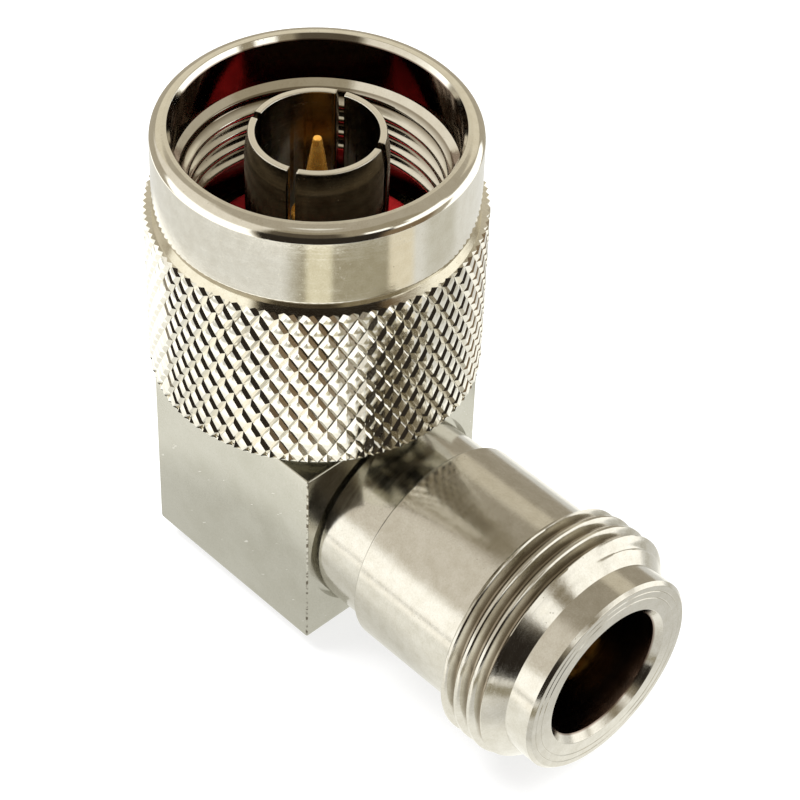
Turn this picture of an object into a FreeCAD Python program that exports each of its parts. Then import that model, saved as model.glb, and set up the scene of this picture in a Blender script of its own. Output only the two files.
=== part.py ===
"""Right-angle coaxial adapter, plug to jack, 50 ohm, with a knurled coupling nut.

The plug points up, the jack points along +X. Z runs along the plug axis, and the
origin is the centre of the body block's bottom face. All sizes are in millimetres.
"""
import FreeCAD
import Part
import math
import os

Vector = FreeCAD.Vector
UP = Vector(0, 0, 1)

# Body block: square bar with a turned boss that carries the plug
block_side = 14.0
block_height = 14.0
block_base_round = 0.45
block_rim_chamfer = 0.12
jack_axis_height = 7.0
boss_diameter = 13.6
boss_length = 7.8
boss_chamfer = 0.2

# Clearances between pieces
press_gap = 0.01
nut_running_gap = 0.08
ring_radial_gap = 0.3
ring_axial_gap = 0.06
gasket_gap = 0.27
relief_gap = 0.35
line_clearance = 0.1

# Coaxial line inside the body
line_bore = 7.0
conductor_diameter = 3.04
cavity_below_pin = 1.8

# Round access plug pressed into the face behind the jack
cap_diameter = 9.0
cap_thickness = 1.3
cap_chamfer = 0.2

# Jack shell: shank pressed in the block, neck, smooth barrel, thread and nose
shank_diameter = 10.0
relief_depth = 0.4
neck_diameter = 12.7
neck_length = 4.0
barrel_diameter = 13.76
barrel_length = 8.2
barrel_chamfer = 0.12
thread_diameter = 15.74
thread_length = 3.2
thread_rear_chamfer = 0.25
thread_front_cone = 1.15
nose_diameter = 13.2
nose_length = 1.9
nose_chamfer = 0.15
jack_bore = 8.1
jack_mouth = 9.4
jack_mouth_throat = 8.9
jack_mouth_depth = 0.55
jack_lead_in = 1.6
jack_bore_depth = 9.1

# Jack insulator and slotted socket contact
insulator_recess = 0.45
socket_recess = 5.0
socket_bore = 1.7
socket_bore_depth = 5.5
socket_slot_width = 0.3
socket_slot_length = 4.0
socket_slots = 4
socket_chamfer = 0.2
tail_diameter = 1.2

# Plug outer contact: flanged, slotted ferrule pressed in the boss
ferrule_diameter = 8.36
ferrule_tip_diameter = 7.94
ferrule_tip_taper = 1.3
ferrule_reach = 10.7
ferrule_press_depth = 4.6
ferrule_flange_diameter = 11.0
ferrule_flange_thickness = 1.0
ferrule_tip_chamfer = 0.05
ferrule_slots = 4
ferrule_slot_width = 0.55
ferrule_slot_length = 6.5
ferrule_slot_turn = 26.4

# Plug insulator and pointed pin
plug_insulator_rise = 1.2
pin_tip_below_ferrule = 0.5
pin_tip_flat = 0.5
pin_tip_chamfer = 0.06
pin_taper_length = 3.6
pin_diameter = 1.62
pin_shoulder_below_ferrule = 5.9
pin_shoulder_chamfer = 0.25
pin_end_below_axis = 1.6

# Sealing gasket on the boss around the ferrule
gasket_outer = 14.2
gasket_thickness = 1.5
gasket_chamfer = 0.3

# Retaining ring that carries the nut on the boss
ring_groove_diameter = 11.8
ring_groove_above_block = 3.9
ring_outer = 14.7
ring_height = 1.0
ring_opening = 24.0

# Coupling nut
nut_above_block = 1.8
nut_length = 17.2
nut_bottom_chamfer = 0.3
nut_wall_floor = 4.8
nut_relief_bore = 15.9
nut_relief_length = 4.2
nut_thread_bore = 14.84
nut_entry_bore = 16.66
nut_entry_depth = 3.15
nut_entry_step = 0.45
nut_mouth_diameter = 17.1
nut_mouth_depth = 0.5
rim_diameter = 19.16
rim_height = 5.7
rim_edge = 0.43
rim_foot_inset = 0.28
rim_foot_height = 0.6
knurl_diameter = 20.2
knurl_depth = 0.45
knurl_count = 56
knurl_rows = 6

# Fits that follow from the sizes
relief_diameter = neck_diameter + 2 * relief_gap
ferrule_bore = line_bore + line_clearance
gasket_inner = ferrule_diameter + 2 * gasket_gap
ring_inner = ring_groove_diameter + ring_radial_gap
nut_bottom_bore = boss_diameter + 2 * nut_running_gap
nut_ring_groove = ring_outer + 2 * ring_radial_gap

# Levels that follow from the sizes
block_half = block_side / 2
boss_top = block_height + boss_length
ferrule_tip = boss_top + ferrule_reach
neck_start = block_half - relief_depth
neck_end = block_half + neck_length
barrel_end = neck_end + barrel_length
thread_end = barrel_end + thread_length
nose_start = thread_end + thread_front_cone
jack_face = nose_start + nose_length
jack_shoulder = jack_face - jack_bore_depth
shank_start = line_bore / 2 + line_clearance
pin_end = jack_axis_height - pin_end_below_axis
cavity_floor = pin_end - cavity_below_pin
nut_bottom = block_height + nut_above_block
nut_top = nut_bottom + nut_length
ring_groove_floor = block_height + ring_groove_above_block


def chamfered(radius, height, size):
    """Corner of an outline, cut off at this distance along both of its sides."""
    return (radius, height, size)


def outline(corners):
    """Closed wire in the XZ plane through sharp corners (radius, height) and chamfered ones."""
    points = [Vector(corner[0], 0, corner[1]) for corner in corners]
    count = len(corners)
    path = []
    for index, corner in enumerate(corners):
        point = points[index]
        if len(corner) == 2:
            path.append(point)
            continue
        size = corner[2]
        back = (points[index - 1] - point).normalize()
        ahead = (points[(index + 1) % count] - point).normalize()
        path += [point + back * size, point + ahead * size]
    return Part.makePolygon(path + path[:1])


def turned(corners):
    """Solid of revolution about Z from its half section."""
    return Part.Face(outline(corners)).revolve(Vector(0, 0, 0), UP, 360)


def along_jack(shape):
    """Turns a shape made about Z so that it lies along +X on the jack axis."""
    turned_over = shape.copy()
    turned_over.rotate(Vector(0, 0, 0), Vector(0, 1, 0), 90)
    turned_over.translate(Vector(0, 0, jack_axis_height))
    return turned_over


def slots(count, width, length, top, reach, turn):
    """Radial slots cut down from a tube's open end, as one tool."""
    blades = []
    for index in range(count):
        blade = Part.makeBox(reach, width, length + 1, Vector(0, -width / 2, top - length))
        blade.rotate(Vector(0, 0, 0), UP, turn + index * 360.0 / count)
        blades.append(blade)
    return blades[0].multiFuse(blades[1:])


def make_body_block():
    block = Part.makeBox(block_side, block_side, block_height, Vector(-block_half, -block_half, 0))
    base = [edge for edge in block.Edges if edge.BoundBox.ZMax < 1e-6]
    block = block.makeFillet(block_base_round, base)
    rim = [edge for edge in block.Edges if edge.BoundBox.ZMin > block_height - 1e-6]
    block = block.makeChamfer(block_rim_chamfer, rim)

    boss_radius = boss_diameter / 2
    groove_radius = ring_groove_diameter / 2
    groove_top = ring_groove_floor + ring_height + 2 * ring_axial_gap
    boss = turned([
        (0, block_height - 1),
        (boss_radius, block_height - 1),
        (boss_radius, ring_groove_floor),
        (groove_radius, ring_groove_floor),
        (groove_radius, groove_top),
        (boss_radius, groove_top),
        chamfered(boss_radius, boss_top, boss_chamfer),
        (0, boss_top),
    ])
    line_radius = line_bore / 2
    ferrule_radius = ferrule_diameter / 2 + press_gap
    flange_radius = ferrule_flange_diameter / 2 + press_gap
    upright = turned([
        (0, cavity_floor),
        (line_radius, cavity_floor),
        (line_radius, boss_top - ferrule_press_depth),
        (ferrule_radius, boss_top - ferrule_press_depth),
        (ferrule_radius, boss_top - ferrule_flange_thickness),
        (flange_radius, boss_top - ferrule_flange_thickness),
        (flange_radius, boss_top + 1),
        (0, boss_top + 1),
    ])
    cap_seat = -block_half + cap_thickness
    shank_radius = shank_diameter / 2 + press_gap
    level = along_jack(turned([
        (0, -block_half - 1),
        (cap_diameter / 2 + press_gap, -block_half - 1),
        (cap_diameter / 2 + press_gap, cap_seat),
        (line_radius, cap_seat),
        (line_radius, shank_start),
        (shank_radius, shank_start),
        (shank_radius, neck_start),
        (relief_diameter / 2, neck_start),
        (relief_diameter / 2, block_half + 1),
        (0, block_half + 1),
    ]))
    return block.fuse(boss).cut([upright, level]).removeSplitter()


def make_rear_cap():
    radius = cap_diameter / 2
    return along_jack(turned([
        (0, -block_half),
        chamfered(radius, -block_half, cap_chamfer),
        (radius, -block_half + cap_thickness),
        (0, -block_half + cap_thickness),
    ]))


def make_jack_shell():
    thread_radius = thread_diameter / 2
    nose_radius = nose_diameter / 2
    return along_jack(turned([
        (line_bore / 2, shank_start),
        (shank_diameter / 2, shank_start),
        (shank_diameter / 2, neck_start),
        (neck_diameter / 2, neck_start),
        (neck_diameter / 2, neck_end),
        chamfered(barrel_diameter / 2, neck_end, barrel_chamfer),
        (barrel_diameter / 2, barrel_end),
        (thread_radius - thread_rear_chamfer, barrel_end),
        (thread_radius, barrel_end + thread_rear_chamfer),
        (thread_radius, thread_end),
        (nose_radius, nose_start),
        chamfered(nose_radius, jack_face, nose_chamfer),
        (jack_mouth / 2, jack_face),
        (jack_mouth_throat / 2, jack_face - jack_mouth_depth),
        (jack_bore / 2, jack_face - jack_mouth_depth - jack_lead_in),
        (jack_bore / 2, jack_shoulder),
        (line_bore / 2, jack_shoulder),
    ]))


def make_jack_insulator():
    outer = line_bore / 2 - press_gap
    inner = conductor_diameter / 2 + press_gap
    front = jack_shoulder - insulator_recess
    return along_jack(turned([
        (inner, shank_start),
        (outer, shank_start),
        (outer, front),
        (inner, front),
    ]))


def make_jack_contact():
    radius = conductor_diameter / 2
    tip = jack_face - socket_recess
    tail_radius = tail_diameter / 2
    contact = turned([
        (0, -radius),
        (tail_radius, -radius),
        (tail_radius, radius + press_gap),
        (radius, radius + press_gap),
        chamfered(radius, tip, socket_chamfer),
        (socket_bore / 2, tip),
        (socket_bore / 2, tip - socket_bore_depth),
        (0, tip - socket_bore_depth),
    ])
    cuts = slots(socket_slots, socket_slot_width, socket_slot_length, tip, conductor_diameter, 45)
    return along_jack(contact.cut(cuts))


def make_plug_ferrule():
    radius = ferrule_diameter / 2
    bore = ferrule_bore / 2
    flange = ferrule_flange_diameter / 2
    ferrule = turned([
        (bore, boss_top - ferrule_press_depth),
        (radius, boss_top - ferrule_press_depth),
        (radius, boss_top - ferrule_flange_thickness),
        (flange, boss_top - ferrule_flange_thickness),
        (flange, boss_top),
        (radius, boss_top),
        (radius, ferrule_tip - ferrule_tip_taper),
        chamfered(ferrule_tip_diameter / 2, ferrule_tip, ferrule_tip_chamfer),
        chamfered(bore, ferrule_tip, ferrule_tip_chamfer),
    ])
    cuts = slots(
        ferrule_slots, ferrule_slot_width, ferrule_slot_length,
        ferrule_tip, ferrule_diameter, ferrule_slot_turn,
    )
    return ferrule.cut(cuts)


def make_plug_insulator():
    outer = line_bore / 2 - press_gap
    inner = conductor_diameter / 2 + press_gap
    bottom = jack_axis_height + line_bore / 2 + line_clearance
    top = boss_top + plug_insulator_rise
    return turned([(inner, bottom), (outer, bottom), (outer, top), (inner, top)])


def make_plug_pin():
    radius = conductor_diameter / 2
    thin = pin_diameter / 2
    tip = ferrule_tip - pin_tip_below_ferrule
    shoulder = ferrule_tip - pin_shoulder_below_ferrule
    pin = turned([
        (0, pin_end),
        (radius, pin_end),
        (radius, shoulder - pin_shoulder_chamfer),
        (radius - pin_shoulder_chamfer, shoulder),
        (thin, shoulder),
        (thin, tip - pin_taper_length),
        chamfered(pin_tip_flat / 2, tip, pin_tip_chamfer),
        (0, tip),
    ])
    reach = 2 * conductor_diameter
    cross_hole = Part.makeCylinder(
        tail_diameter / 2 + press_gap, reach, Vector(-reach / 2, 0, jack_axis_height), Vector(1, 0, 0),
    )
    return pin.cut(cross_hole)


def make_sealing_gasket():
    top = boss_top + gasket_thickness
    return turned([
        (gasket_inner / 2, boss_top),
        (gasket_outer / 2, boss_top),
        chamfered(gasket_outer / 2, top, gasket_chamfer),
        chamfered(gasket_inner / 2, top, gasket_chamfer),
    ])


def make_retaining_ring():
    top = ring_groove_floor + ring_height
    ring = turned([
        (ring_inner / 2, ring_groove_floor),
        (ring_outer / 2, ring_groove_floor),
        (ring_outer / 2, top),
        (ring_inner / 2, top),
    ])
    half_opening = math.radians(ring_opening / 2)
    reach = ring_outer
    side = reach * math.tan(half_opening)
    corners = [Vector(0, 0, 0), Vector(-reach, -side, 0), Vector(-reach, side, 0), Vector(0, 0, 0)]
    wedge = Part.Face(Part.makePolygon(corners)).extrude(UP * (2 * ring_height))
    wedge.translate(Vector(0, 0, ring_groove_floor - ring_height / 2))
    return ring.cut(wedge)


def facet(*corners):
    return Part.Face(Part.makePolygon([*corners, corners[0]]))


def knurl_facets(bottom, top):
    """Pyramids between crossing grooves, and the two polygons that bound the band.

    Peaks and groove crossings take turns on every level. Both ends of the band are cut across
    halfway between two levels, so that the pyramids there are cut open.
    """
    steps = 2 * knurl_count
    levels = 2 * knurl_rows
    level_height = (top - bottom) / levels
    crest = knurl_diameter / 2
    root = crest - knurl_depth

    def is_peak(step, level):
        return (step + level) % 2 == 1

    def node(step, level):
        radius = crest if is_peak(step, level) else root
        angle = math.pi * (step % steps) / knurl_count
        height = bottom + (level + 0.5) * level_height
        return Vector(radius * math.cos(angle), radius * math.sin(angle), height)

    facets = []
    for level in range(levels - 1):
        for step in range(steps):
            here, ahead = node(step, level), node(step + 1, level)
            above_here, above_ahead = node(step, level + 1), node(step + 1, level + 1)
            if is_peak(step, level):
                facets += [facet(here, ahead, above_here), facet(above_ahead, above_here, ahead)]
            else:
                facets += [facet(ahead, here, above_ahead), facet(above_here, above_ahead, here)]
    ends = []
    for level, beyond in ((0, -1), (levels - 1, levels)):
        ring = []
        for step in range(steps):
            here, ahead = node(step, level), node(step + 1, level)
            ridge_here = (here + node(step, beyond)) * 0.5
            ridge_ahead = (ahead + node(step + 1, beyond)) * 0.5
            if is_peak(step, level):
                valley = (ahead + node(step, beyond)) * 0.5
                facets += [facet(here, ahead, valley, ridge_here), facet(ahead, ridge_ahead, valley)]
            else:
                valley = (here + node(step + 1, beyond)) * 0.5
                facets += [facet(ahead, here, valley, ridge_ahead), facet(here, ridge_here, valley)]
            ring += [ridge_here, valley]
        ends.append(Part.makePolygon(ring + ring[:1]))
    return facets, ends


def make_coupling_nut():
    knurl_top = nut_top - rim_height
    bottom_circle = nut_bottom_bore / 2 + nut_bottom_chamfer
    rim = rim_diameter / 2
    ledge = rim - rim_foot_inset
    edge_middle = rim_edge * (1 - math.sqrt(0.5))
    groove_floor = ring_groove_floor - ring_axial_gap
    groove_top = ring_groove_floor + ring_height + ring_axial_gap
    relief_floor = nut_bottom + nut_wall_floor
    thread_floor = relief_floor + nut_relief_length
    entry_floor = nut_top - nut_entry_depth
    bore = nut_bottom_bore / 2
    section = outline([
        (bottom_circle, nut_bottom),
        (bore, nut_bottom + nut_bottom_chamfer),
        (bore, groove_floor),
        (nut_ring_groove / 2, groove_floor),
        (nut_ring_groove / 2, groove_top),
        (bore, groove_top),
        (bore, relief_floor),
        (nut_relief_bore / 2, relief_floor),
        (nut_relief_bore / 2, thread_floor),
        (nut_thread_bore / 2, thread_floor),
        (nut_thread_bore / 2, entry_floor - nut_entry_step),
        (nut_entry_bore / 2, entry_floor),
        (nut_entry_bore / 2, nut_top - nut_mouth_depth),
        (nut_mouth_diameter / 2, nut_top),
        (rim - rim_edge, nut_top),
        (rim - edge_middle, nut_top - edge_middle),
        (rim, nut_top - rim_edge),
        (rim, knurl_top + rim_foot_height),
        (ledge, knurl_top),
        (ledge, nut_bottom),
    ])
    core = Part.Face(section).revolve(Vector(0, 0, 0), UP, 360)
    skins = [face for face in core.Faces if not is_knurl_seat(face, ledge, bottom_circle)]
    facets, (bottom_ring, top_ring) = knurl_facets(nut_bottom, knurl_top)
    rings = [
        flat_ring(bottom_ring, bottom_circle, nut_bottom),
        flat_ring(top_ring, ledge, knurl_top),
    ]
    shell = Part.makeShell(skins + rings + facets)
    shell.sewShape()
    return Part.makeSolid(shell)


def is_knurl_seat(face, ledge, bottom_circle):
    """The core's outer wall under the knurl, and the bottom annulus that the band covers."""
    box = face.BoundBox
    knurl_top = nut_top - rim_height
    flat_bottom = box.ZMax < nut_bottom + 1e-6 and box.XMax > bottom_circle + 1e-6
    seat = abs(box.XMax - ledge) < 1e-6 and box.ZMax < knurl_top + 1e-6
    return flat_bottom or seat


def flat_ring(polygon, hole_radius, height):
    """Flat face between the band's end polygon and a round hole."""
    hole = Part.Wire([Part.makeCircle(hole_radius, Vector(0, 0, height), UP)])
    return Part.makeFace([polygon, hole], "Part::FaceMakerBullseye")


NODES = {
    "body_block": make_body_block,
    "rear_cap": make_rear_cap,
    "jack_shell": make_jack_shell,
    "jack_insulator": make_jack_insulator,
    "jack_contact": make_jack_contact,
    "plug_ferrule": make_plug_ferrule,
    "plug_insulator": make_plug_insulator,
    "plug_pin": make_plug_pin,
    "sealing_gasket": make_sealing_gasket,
    "retaining_ring": make_retaining_ring,
    "coupling_nut": make_coupling_nut,
}


def main():
    os.makedirs("parts", exist_ok=True)
    for name, make in NODES.items():
        shape = make()
        shape.exportStep("parts/" + name + ".step")
        print(name, "valid", shape.isValid(), "solids", len(shape.Solids), "volume", round(shape.Volume, 2))


main()
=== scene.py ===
"""Looks of a right-angle coaxial adapter: nickel-plated block, threaded jack and knurled coupling nut.

Meshes are drawn in millimetres and stored in metres. Z runs along the plug, X along the jack.
A turned shape is given as the corners (radius, height) of its half section, and a corner with a
third value is rounded to that radius.
"""
import math
import bmesh
import bpy
import numpy as np
from mathutils import Matrix, Vector


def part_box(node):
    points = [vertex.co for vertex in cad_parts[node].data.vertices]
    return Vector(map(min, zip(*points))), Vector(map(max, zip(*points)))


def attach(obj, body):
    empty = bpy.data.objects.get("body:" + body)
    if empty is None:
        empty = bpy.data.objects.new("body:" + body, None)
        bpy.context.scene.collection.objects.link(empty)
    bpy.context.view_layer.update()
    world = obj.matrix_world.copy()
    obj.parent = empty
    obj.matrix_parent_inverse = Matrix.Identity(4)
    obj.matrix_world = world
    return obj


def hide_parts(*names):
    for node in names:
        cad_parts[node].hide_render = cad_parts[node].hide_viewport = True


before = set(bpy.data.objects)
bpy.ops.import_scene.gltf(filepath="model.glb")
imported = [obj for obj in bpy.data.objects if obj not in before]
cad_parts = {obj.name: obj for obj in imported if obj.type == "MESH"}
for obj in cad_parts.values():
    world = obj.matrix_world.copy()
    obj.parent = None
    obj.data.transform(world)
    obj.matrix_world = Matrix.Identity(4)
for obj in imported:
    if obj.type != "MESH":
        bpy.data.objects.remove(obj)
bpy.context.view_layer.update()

MM = 0.001


def box_mm(node):
    """Lowest and highest corner of a CAD node, in millimetres."""
    low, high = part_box(node)
    return low / MM, high / MM


# Corners of the CAD nodes
block_high = box_mm("body_block")[1]
shell_low, shell_high = box_mm("jack_shell")
cap_high = box_mm("rear_cap")[1]
contact_high = box_mm("jack_contact")[1]
ferrule_high = box_mm("plug_ferrule")[1]
pin_low, pin_high = box_mm("plug_pin")
gasket_high = box_mm("sealing_gasket")[1]
nut_low, nut_high = box_mm("coupling_nut")

# Body block with the boss that carries the plug, in millimetres from here on
block_half = block_high.x
block_height = 2 * block_half
base_round = 0.45
rim_round = 0.12
edge_round = 0.1
boss_top = block_high.z
boss_radius = 6.8
boss_edge = 0.2
ring_groove_radius = 5.9
ring_groove_floor = block_height + 3.9
ring_groove_height = 1.12
line_radius = 3.5
cavity_floor = 3.6
press_gap = 0.01
tool_overlap = 1

# Round access plug in the face behind the jack
cap_radius = cap_high.y
cap_thickness = 1.3
cap_edge = 0.16

# Jack shell
jack_axis = (shell_low.z + shell_high.z) / 2
jack_face = shell_high.x
shank_start = line_radius + 0.1
shank_radius = 5.0
shank_end = block_half - 0.4
relief_radius = 6.7
neck_radius = 6.35
neck_end = block_half + 4.0
barrel_radius = 6.88
barrel_edge = 0.13
barrel_end = neck_end + 8.2
thread_radius = shell_high.y
thread_rear_chamfer = 0.25
thread_end = barrel_end + 3.2
nose_radius = 6.6
nose_start = thread_end + 1.15
nose_chamfer = 0.22
nose_edge = 0.08
jack_bore = 4.05
jack_shoulder = jack_face - 9.1
jack_mouth = 4.75
jack_mouth_edge = 0.06
jack_mouth_depth = 0.45
jack_throat = 4.32
jack_lead_in = 1.7

# Turned rings on the jack's face: radius, depth, and width of each ring's outer and inner flank
face_rings = (6.0, 5.55)
face_ring_depth = 0.03
face_ring_outer_flank = 0.05
face_ring_inner_flank = 0.03

# Thread on both ends, 24 turns to the inch
thread_pitch = 25.4 / 24
thread_depth = 0.6
thread_crest_share = 0.12
thread_root_share = 0.08
thread_round = 0.8

# Slotted contact in the jack
contact_tip = contact_high.x
contact_radius = 1.52
contact_edge = 0.2
contact_bore = 0.85
contact_bore_edge = 0.1
contact_bore_depth = 5.5
contact_slots = 4
contact_slot_width = 0.3
contact_slot_length = 4.0
contact_slot_turn = 45
tail_radius = 0.6

# Slotted ferrule, pin and gasket of the plug
ferrule_tip = ferrule_high.z
ferrule_radius = 4.18
ferrule_bulge_round = 3.0
ferrule_taper = 1.3
ferrule_tip_radius = 3.97
ferrule_edge = 0.08
ferrule_bore = 3.55
ferrule_press = 4.6
ferrule_flange = 1.0
ferrule_flange_radius = ferrule_high.x
ferrule_slots = 4
ferrule_slot_width = 0.55
ferrule_slot_length = 6.5
ferrule_slot_turn = 26.4
ferrule_slot_edge = 0.035
# Height of the ferrule's top rim that takes a painted highlight
ferrule_highlight_rim = 0.12
pin_end = pin_low.z
pin_base_radius = 1.52
pin_base_edge = 0.25
pin_shoulder = ferrule_tip - 5.9
pin_radius = 0.81
pin_taper = 3.6
pin_taper_round = 2.5
pin_tip = pin_high.z
pin_tip_radius = 0.25
pin_tip_edge = 0.12
cross_hole_reach = 4
gasket_bore = 4.45
gasket_radius = gasket_high.x
gasket_top = gasket_high.z
gasket_round = 0.4
gasket_foot_round = 0.12

# Coupling nut
nut_bottom = nut_low.z
nut_top = nut_high.z
nut_bore = 6.88
nut_bottom_chamfer = 0.3
nut_groove_radius = 7.65
nut_groove_floor = ring_groove_floor - 0.06
nut_groove_top = nut_groove_floor + ring_groove_height
nut_relief_floor = nut_bottom + 4.8
nut_relief_radius = 7.95
nut_thread_floor = nut_relief_floor + 4.2
nut_thread_crest = 7.42
nut_thread_root = nut_relief_radius - 0.02
nut_thread_start = 0.4
nut_entry_floor = nut_top - 3.15
nut_entry_step = 0.36
nut_thread_top = nut_entry_floor - nut_entry_step
nut_entry_radius = 8.33
nut_mouth_radius = 8.55
nut_mouth_depth = 0.36
nut_mouth_edge = 0.05
rim_radius = 9.58
rim_height = 5.7
rim_top_round = 0.78
rim_foot_inset = 0.28
rim_foot_height = 0.6
rim_foot_round = 0.3

# Diamond knurl: steep walls up to a share of the way from groove to crest, then a low crown
knurl_radius = nut_high.x
knurl_top = nut_top - rim_height
knurl_count = 56
knurl_rows = 6
knurl_wall = 0.19
knurl_crown = 0.035
knurl_wall_share = 0.42
knurl_crown_shares = (0.66, 0.84)
knurl_cut_share = 0.5
knurl_foot = 0.1
knurl_foot_radius = knurl_radius - 0.12
knurl_foot_edge = 0.04

# Camera at the photograph's view
camera_azimuth = 44.934
camera_elevation = 44.112
camera_roll = 2.172
camera_distance = 179.654
camera_target = Vector((-0.104, 7.539, 6.222))
camera_lens = 125.055
camera_sensor = 36
camera_clip = (0.005, 5)

# Floor and reflected table
floor_gap = 0.02
floor_reach = 600
table_gap = 0.05
table_reach = 58
table_sides = 96

# Surroundings that metal reflects, each over the ones before it, with angles in degrees:
# azimuth with inner and outer half width, lowest and highest elevation with softness, tone
room_tone = (0.47, 0.42, 0.33)
white_tone = (1.7, 1.68, 1.6)
surroundings = [
    (None, (52, 95, 4), (0.98, 0.95, 0.87)),
    ((-38, 44, 56), (12, 60, 5), (0.92, 0.86, 0.75)),
    ((-135, 44, 56), (20, 40, 2), (0.82, 0.75, 0.6)),
    ((70, 50, 60), (14, 62, 4), (0.36, 0.31, 0.22)),
    ((40, 20, 28), (10, 46, 4), (0.1, 0.08, 0.055)),
    ((53, 40, 44), (-60, 15, 5), (0.03, 0.024, 0.018)),
    ((107, 12, 22), (-60, -1, 4), (0.24, 0.17, 0.1)),
    ((-26, 30, 36), (-60, 13, 6), white_tone),
    ((159, 18, 23), (-60, 11, 6), white_tone),
    ((138, 40, 44), (0, 14, 4), white_tone),
    ((122, 12, 18), (10, 28, 4), white_tone),
    ((86, 6, 10), (14, 26, 4), white_tone),
]

# Table as metal reflects it, with streaks as azimuth with inner and outer half width, and tone
table_shade = (0.88, 0.87, 0.8)
table_tone = (0.86, 0.85, 0.8)
table_bright = (1.25, 1.24, 1.16)
table_glare = (1.7, 1.66, 1.55)
table_streaks = [
    ((66, 24, 42), (0.42, 0.38, 0.27)),
    ((49, 5, 10), (0.86, 0.8, 0.6)),
    ((102, 6, 11), (0.9, 0.82, 0.64)),
    ((134, 8, 18), (0.68, 0.66, 0.58)),
]

# Mesh fineness. Each side of the knurl's end polygons takes a whole number of the fine columns
FINE_COLUMNS = 448
FERRULE_COLUMNS = 180
SEAT_COLUMNS = 168
ROUND_COLUMNS = 144
BORE_COLUMNS = 120
PIN_COLUMNS = 72
HOLE_COLUMNS = 48
ROWS_PER_PITCH = 20
ROUND_STEPS = 6
RIM_STEPS = 3
EDGE_STEPS = 4
ROUND_GUARD = 0.015
WELD_DISTANCE = 2e-7
SLIVER_LENGTH = 1e-8
SHARP_ANGLE = 32
THREAD_SHARP_ANGLE = 24


def rounded_points(corners):
    """Points of a half section in which every corner with a third value is rounded.

    A guard point beside each end of a round keeps the shading of the straight parts straight.
    """
    points = []
    count = len(corners)
    for index, corner in enumerate(corners):
        if len(corner) == 2:
            points.append((float(corner[0]), float(corner[1])))
            continue
        here = Vector(corner[:2])
        back = (Vector(corners[index - 1][:2]) - here).normalized()
        ahead = (Vector(corners[(index + 1) % count][:2]) - here).normalized()
        half = back.angle(ahead) / 2
        setback = corner[2] / math.tan(half)
        centre = here + (back + ahead).normalized() * corner[2] / math.sin(half)
        start = here + back * setback - centre
        turn = start.angle_signed(here + ahead * setback - centre)
        points.append(tuple(centre + start + back * ROUND_GUARD))
        for step in range(ROUND_STEPS + 1):
            arm = start.copy()
            arm.rotate(Matrix.Rotation(-turn * step / ROUND_STEPS, 2))
            points.append(tuple(centre + arm))
        points.append(tuple(here + ahead * (setback + ROUND_GUARD)))
    return points


class Skin:
    """Vertices and faces about a shape's own axis, in millimetres."""

    def __init__(self):
        self.points = []
        self.faces = []

    def add_points(self, points):
        start = len(self.points)
        self.points.extend(points)
        return start

    def spin(self, rows, columns):
        """Bands between successive rows: a row is one (radius, height), or one for each column."""
        angles = [2 * math.pi * column / columns for column in range(columns)]
        starts = []
        for row in rows:
            pairs = [row] * columns if isinstance(row[0], float) else row
            starts.append(self.add_points([
                (radius * math.cos(angle), radius * math.sin(angle), height)
                for angle, (radius, height) in zip(angles, pairs)
            ]))
        for low, high in zip(starts, starts[1:]):
            for column in range(columns):
                ahead = (column + 1) % columns
                self.faces.append((low + column, low + ahead, high + ahead, high + column))

    def helix(self, radius_at, bottom, top, columns):
        """Threaded band whose rows climb one pitch a turn and stop at the two ends."""
        rows = int(math.ceil((top - bottom) / thread_pitch + 2)) * ROWS_PER_PITCH
        starts = []
        for row in range(rows + 1):
            ring = []
            for column in range(columns):
                share = column / columns
                turns = (row - ROWS_PER_PITCH) / ROWS_PER_PITCH + share
                height = min(max(bottom + turns * thread_pitch, bottom), top)
                radius = radius_at(height, share)
                angle = 2 * math.pi * share
                ring.append((radius * math.cos(angle), radius * math.sin(angle), height))
            starts.append(self.add_points(ring))
        for row in range(rows):
            for column in range(columns):
                ahead = column + 1
                shift = 0
                if ahead == columns:
                    ahead = 0
                    shift = ROWS_PER_PITCH
                if row + 1 + shift > rows:
                    continue
                self.faces.append((
                    starts[row] + column, starts[row + shift] + ahead,
                    starts[row + 1 + shift] + ahead, starts[row + 1] + column,
                ))

    def ring_to_circle(self, ring, radius, height, columns):
        """Flat face between a polygon and a circle with a whole number of columns for each side."""
        each = columns // len(ring)
        angles = [2 * math.pi * column / columns for column in range(columns)]
        circle = self.add_points([
            (radius * math.cos(angle), radius * math.sin(angle), height) for angle in angles
        ])
        for index, corner in enumerate(ring):
            following = ring[(index + 1) % len(ring)]
            for step in range(each):
                here = circle + index * each + step
                ahead = circle + (index * each + step + 1) % columns
                self.faces.append((corner, here, ahead))
            self.faces.append((corner, circle + ((index + 1) * each) % columns, following))

    def mesh(self, name, along_x=False, sharp_angle=SHARP_ANGLE):
        """Closed mesh with smooth rounds and sharp edges, in metres and in the frame."""
        points = np.array(self.points)
        if along_x:
            points = np.stack([points[:, 2], points[:, 0], points[:, 1] + jack_axis], 1)
        data = bpy.data.meshes.new(name)
        data.from_pydata((points * MM).tolist(), [], self.faces)
        draft = bmesh.new()
        draft.from_mesh(data)
        bmesh.ops.remove_doubles(draft, verts=draft.verts, dist=WELD_DISTANCE)
        bmesh.ops.dissolve_degenerate(draft, edges=draft.edges, dist=SLIVER_LENGTH)
        bmesh.ops.recalc_face_normals(draft, faces=draft.faces)
        draft.to_mesh(data)
        draft.free()
        finish_shading(data, sharp_angle)
        return data


def finish_shading(data, sharp_angle):
    data.shade_smooth()
    data.set_sharp_from_angle(angle=math.radians(sharp_angle))


def add_object(name, data):
    made = bpy.data.objects.new(name, data)
    bpy.context.scene.collection.objects.link(made)
    return made


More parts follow.
